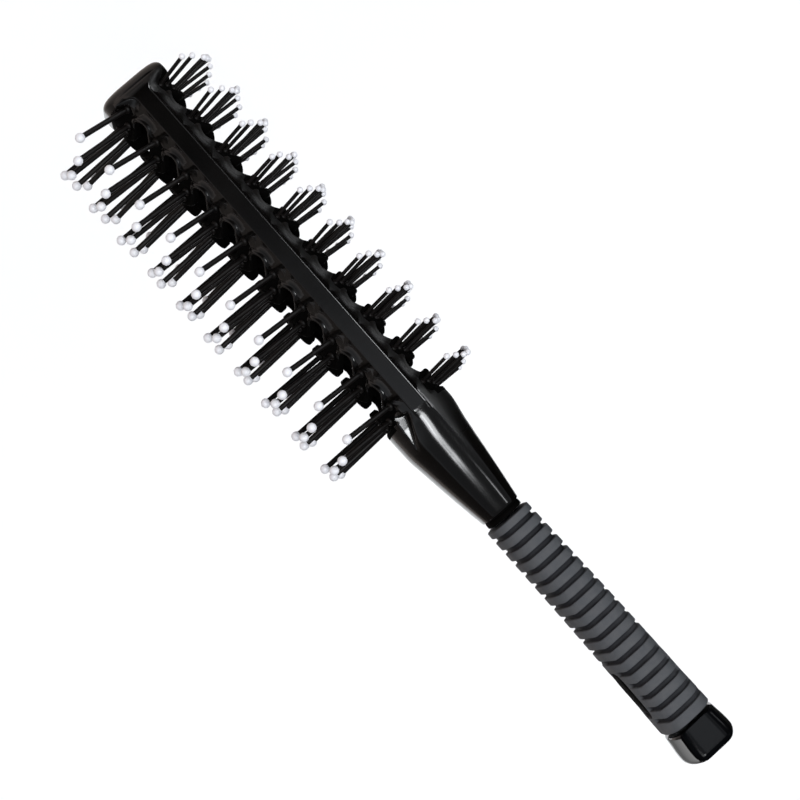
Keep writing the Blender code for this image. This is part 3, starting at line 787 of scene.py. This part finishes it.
corner = Vector((butt_side(BUTT_HALF_Z), BUTT_HALF_Z))
before = Vector((butt_side(BUTT_HALF_Z - BUTT_EDGE), BUTT_HALF_Z - BUTT_EDGE))
after = corner - Vector((BUTT_EDGE, 0.0))
side_heights = [before.y * i / BUTT_SIDE_STEPS for i in range(BUTT_SIDE_STEPS)]
quarter = [Vector((butt_side(z), z)) for z in side_heights]
for t in np.linspace(0.0, 1.0, BUTT_EDGE_POINTS):
    quarter.append(before * (1 - t) ** 2 + corner * 2 * t * (1 - t) + after * t ** 2)
quarter += [Vector((after.x * share, BUTT_HALF_Z)) for share in BUTT_FACE_SHARES]
half_outline = quarter + [Vector((0.0, BUTT_HALF_Z))] + [Vector((-p.x, p.y)) for p in quarter[:0:-1]]
butt_outline = half_outline + [-p for p in half_outline]
butt_rings = []
for distance in BUTT_STEPS:
    swell = BUTT_SWELL * ease(distance, *BUTT_SWELL_AT) + BUTT_STEP * ease(distance, *BUTT_STEP_AT)
    fall = BUTT_FALL * distance * MM
    scales = []
    for half, radius, drawn in zip((BUTT_HALF_Y, BUTT_HALF_Z), BUTT_ROUNDS, (swell, fall)):
        into_round = max(radius - distance * MM, 0.0)
        scales.append((half - drawn - radius + math.sqrt(radius ** 2 - into_round ** 2)) / half)
    x = end_low.x + distance * MM
    butt_rings.append([Vector((x, p.x * scales[0], p.y * scales[1])) for p in butt_outline])
butt_shape = bmesh.new()
rings = skin(butt_shape, butt_rings)
crown = butt_shape.faces.new(rings[0])
butt_shape.faces.new(rings[-1])
bmesh.ops.inset_individual(butt_shape, faces=[crown], thickness=BUTT_INSET)
end_cap = finished_piece("handle_butt", butt_shape, smooth_angle=50)
for zone, shine in BUTT_SHINE.items():
    end_cap.data.materials.append(moulded_finish(
        f"butt_black_{zone}", dark=(0.0012, 0.0014, 0.0018), light=(0.0026, 0.0028, 0.0034), mottle=60.0,
        gloss=(0.06, 0.09), wave=(300.0, 0.05, 0.0002), shine=shine,
    ))
for polygon in end_cap.data.polygons:
    level = abs(polygon.normal.z)
    corners = min(abs(end_cap.data.vertices[i].normal.z) for i in polygon.vertices)
    if level < FLANK_BELOW:
        zone = "flank"
    elif level < LEVEL_ABOVE:
        zone = "edge"
    else:
        zone = "rim" if corners < LEVEL_ABOVE else "top"
    polygon.material_index = list(BUTT_SHINE).index(zone)
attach(end_cap, "root")
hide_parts("handle_end_cap")
bpy.ops.object.select_all(action="DESELECT")

# Stage: a pale floor well below the brush, so that its shadow falls soft and wide, and a dim ceiling with a
# pale horizon. A dark ring of cloth, paler on one side and at its far end, and a pale card below the butt
# stand out of the picture and show only as reflections.
FLOOR_DROP = 1.5
MIDDLE_X = 0.12


def stage_finish(name, values):
    """A plain material for the stage."""
    material = bpy.data.materials.new(name)
    material.use_nodes = True
    set_sockets(material.node_tree.nodes["Principled BSDF"], values)
    return material


def graded(nodes, start, end, least, most):
    """A node that goes from the least to the most as what feeds it goes from the start to the end."""
    node = nodes.new("ShaderNodeMapRange")
    set_sockets(node, {"From Min": start, "From Max": end, "To Min": least, "To Max": most})
    return node


bpy.ops.mesh.primitive_plane_add(size=60.0, location=(MIDDLE_X, 0.0, -FLOOR_DROP))
floor = bpy.context.active_object
floor.name = "floor"
floor.data.materials.append(stage_finish(
    "floor_white", {"Base Color": (0.98, 0.98, 0.98, 1.0), "Roughness": 0.9, "Specular IOR Level": 0.0}
))

# Ring of cloth, and how pale it is: start and end of each change along an axis, then its least and most
RING_PALER = {
    "X": (-0.06, 0.08, 0.07, 0.3),
    "Y": (-0.05, 0.25, 0.0, 1.0),
    "Z": (0.0, -0.15, 0.0, 0.4),
    "X end": (0.22, 0.34, 0.0, 0.6),
}
bpy.ops.mesh.primitive_cylinder_add(
    vertices=48, radius=0.35, depth=0.75, end_fill_type="NOTHING", location=(MIDDLE_X, 0.0, -0.3)
)
flag = bpy.context.active_object
flag.name = "dark_cloth"
flag_black = stage_finish("dark_cloth", {
    "Base Color": (0.02, 0.02, 0.02, 1.0), "Roughness": 1.0, "Emission Color": (1.0, 0.88, 0.82, 1.0),
})
nodes = flag_black.node_tree.nodes
link = flag_black.node_tree.links.new
around = nodes.new("ShaderNodeTexCoord")
across = nodes.new("ShaderNodeSeparateXYZ")
link(around.outputs["Object"], across.inputs["Vector"])
paler = {}
for axis, change in RING_PALER.items():
    node = graded(nodes, *change)
    link(across.outputs[axis[0]], node.inputs["Value"])
    paler[axis] = node.outputs["Result"]
for operation, added in (("MAXIMUM", "Z"), ("MULTIPLY", "Y"), ("MAXIMUM", "X end")):
    joined = nodes.new("ShaderNodeMath")
    joined.operation = operation
    link(paler["X"], joined.inputs[0])
    link(paler[added], joined.inputs[1])
    paler["X"] = joined.outputs["Value"]
link(paler["X"], nodes["Principled BSDF"].inputs["Emission Strength"])
flag.data.materials.append(flag_black)
flag.visible_camera = False
flag.visible_shadow = False

# Pale card, brighter towards its upper edge
CARD_TILT = math.radians(31.4)
CARD_PLACE = (-0.025, 0.0765, -0.071)
CARD_SIZE = (0.09, 0.111)
CARD_GLOW = (-0.085, -0.045, 0.3, 1.8)
bpy.ops.mesh.primitive_plane_add(size=1.0, rotation=(CARD_TILT, 0.0, 0.0), location=CARD_PLACE)
card = bpy.context.active_object
card.name = "pale_card"
card.scale = (*CARD_SIZE, 1.0)
bpy.ops.object.transform_apply(location=True, rotation=True, scale=True)
card_white = stage_finish("pale_card", {
    "Base Color": (0.0, 0.0, 0.0, 1.0), "Emission Color": (1.0, 1.0, 1.0, 1.0),
})
nodes = card_white.node_tree.nodes
link = card_white.node_tree.links.new
place = nodes.new("ShaderNodeTexCoord")
parts = nodes.new("ShaderNodeSeparateXYZ")
upward = graded(nodes, *CARD_GLOW)
link(place.outputs["Object"], parts.inputs["Vector"])
link(parts.outputs["Z"], upward.inputs["Value"])
link(upward.outputs["Result"], nodes["Principled BSDF"].inputs["Emission Strength"])
card.data.materials.append(card_white)
card.visible_camera = False
card.visible_diffuse = False
card.visible_shadow = False

# Ceiling: grey levels along the brush, from the horizon up, and a warmer glow past the head's end
CEILING_LEVELS = (
    (-0.5, 0.2), (-0.28, 0.25), (-0.2, 0.33), (-0.13, 0.5), (-0.05, 0.7), (0.005, 0.67), (0.025, 0.55),
    (0.045, 0.33), (0.07, 0.22), (0.09, 0.1), (0.14, 0.02),
)
HORIZON = (0.02, 0.3)
HORIZON_LEVEL = 0.9
GLOW_WAY = (0.75, 0.65, 0.0)
GLOW_EDGE = (0.5, 0.85)
GLOW_ADDED = 0.9
COOL_WHITE = (0.88, 0.93, 1.0, 1.0)
WARM_WHITE = (1.0, 0.85, 0.78, 1.0)
world = bpy.data.worlds.new("studio")
world.use_nodes = True
bpy.context.scene.world = world
nodes = world.node_tree.nodes
link = world.node_tree.links.new
facing = nodes.new("ShaderNodeTexCoord")
parts = nodes.new("ShaderNodeSeparateXYZ")
link(facing.outputs["Generated"], parts.inputs["Vector"])
along = graded(nodes, -1.0, 1.0, 0.0, 1.0)
link(parts.outputs["X"], along.inputs["Value"])
ceiling = nodes.new("ShaderNodeValToRGB")
for x, grey in CEILING_LEVELS[2:]:
    ceiling.color_ramp.elements.new((x + 1) / 2)
for element, (x, grey) in zip(ceiling.color_ramp.elements, CEILING_LEVELS):
    element.position = (x + 1) / 2
    element.color = (grey, grey, grey, 1.0)
link(along.outputs["Result"], ceiling.inputs["Fac"])
rise = graded(nodes, *HORIZON, 0.0, 1.0)
link(parts.outputs["Z"], rise.inputs["Value"])
level = nodes.new("ShaderNodeMix")
set_sockets(level, {"A": HORIZON_LEVEL})
link(rise.outputs["Result"], level.inputs["Factor"])
link(ceiling.outputs["Color"], level.inputs["B"])
towards_end = nodes.new("ShaderNodeVectorMath")
towards_end.operation = "DOT_PRODUCT"
towards_end.inputs[1].default_value = GLOW_WAY
link(facing.outputs["Generated"], towards_end.inputs[0])
warmth = graded(nodes, *GLOW_EDGE, 0.0, 1.0)
warmth.interpolation_type = "SMOOTHSTEP"
link(towards_end.outputs["Value"], warmth.inputs["Value"])
glow = nodes.new("ShaderNodeMix")
glow.data_type = "RGBA"
glow.inputs[MIX_COLOUR_A].default_value = COOL_WHITE
glow.inputs[MIX_COLOUR_B].default_value = WARM_WHITE
link(warmth.outputs["Result"], glow.inputs["Factor"])
link(glow.outputs[MIX_COLOUR_OUT], nodes["Background"].inputs["Color"])
brighten = nodes.new("ShaderNodeMath")
brighten.operation = "MULTIPLY_ADD"
brighten.inputs[1].default_value = GLOW_ADDED
link(warmth.outputs["Result"], brighten.inputs[0])
link(level.outputs["Result"], brighten.inputs[2])
link(brighten.outputs["Value"], nodes["Background"].inputs["Strength"])

# Far soft lamps: lean from overhead along and across the brush and width, all in degrees, then power
DAYLIGHT = (0.96, 0.98, 1.0)
WHITE = (1.0, 1.0, 1.0)
LAMPS = {
    "window_near": (-15.0, 3.0, 15.0, 1.0, DAYLIGHT),
    "window_far": (-15.0, 14.5, 15.0, 1.0, DAYLIGHT),
    "handle_lamp": (-33.0, -36.0, 10.0, 0.2, DAYLIGHT),
    "rail_lamp": (-4.0, -57.0, 12.0, 0.75, DAYLIGHT),
    "flank_lamp": (26.0, -68.0, 24.0, 0.07, WHITE),
}
for name, (lean_x, lean_y, width, power, colour) in LAMPS.items():
    light = bpy.data.lights.new(name, "SUN")
    light.angle = math.radians(width)
    light.energy = power
    light.color = colour
    lamp = bpy.data.objects.new(name, light)
    towards = Vector((math.tan(math.radians(lean_x)), math.tan(math.radians(lean_y)), 1.0))
    lamp.rotation_euler = towards.to_track_quat("Z", "Y").to_euler()
    lamp.location = towards.normalized()
    bpy.context.scene.collection.objects.link(lamp)

# Camera, as fitted to the photo
CAMERA_PLACE = (0.1247, 0.0761, 0.5805)
CAMERA_BACK = Vector((0.0007, 0.1284, 0.9917))
CAMERA_RIGHT = Vector((-0.6623, -0.743, 0.0967))
camera_data = bpy.data.cameras.new("camera")
camera_data.lens = 99.0
camera_data.sensor_width = 36.0
camera = bpy.data.objects.new("camera", camera_data)
back = CAMERA_BACK.normalized()
up = back.cross(CAMERA_RIGHT).normalized()
turn = Matrix((up.cross(back), up, back)).transposed().to_4x4()
camera.matrix_world = Matrix.Translation(CAMERA_PLACE) @ turn
bpy.context.scene.collection.objects.link(camera)
bpy.context.scene.camera = camera
bpy.context.scene.view_settings.view_transform = "Standard"
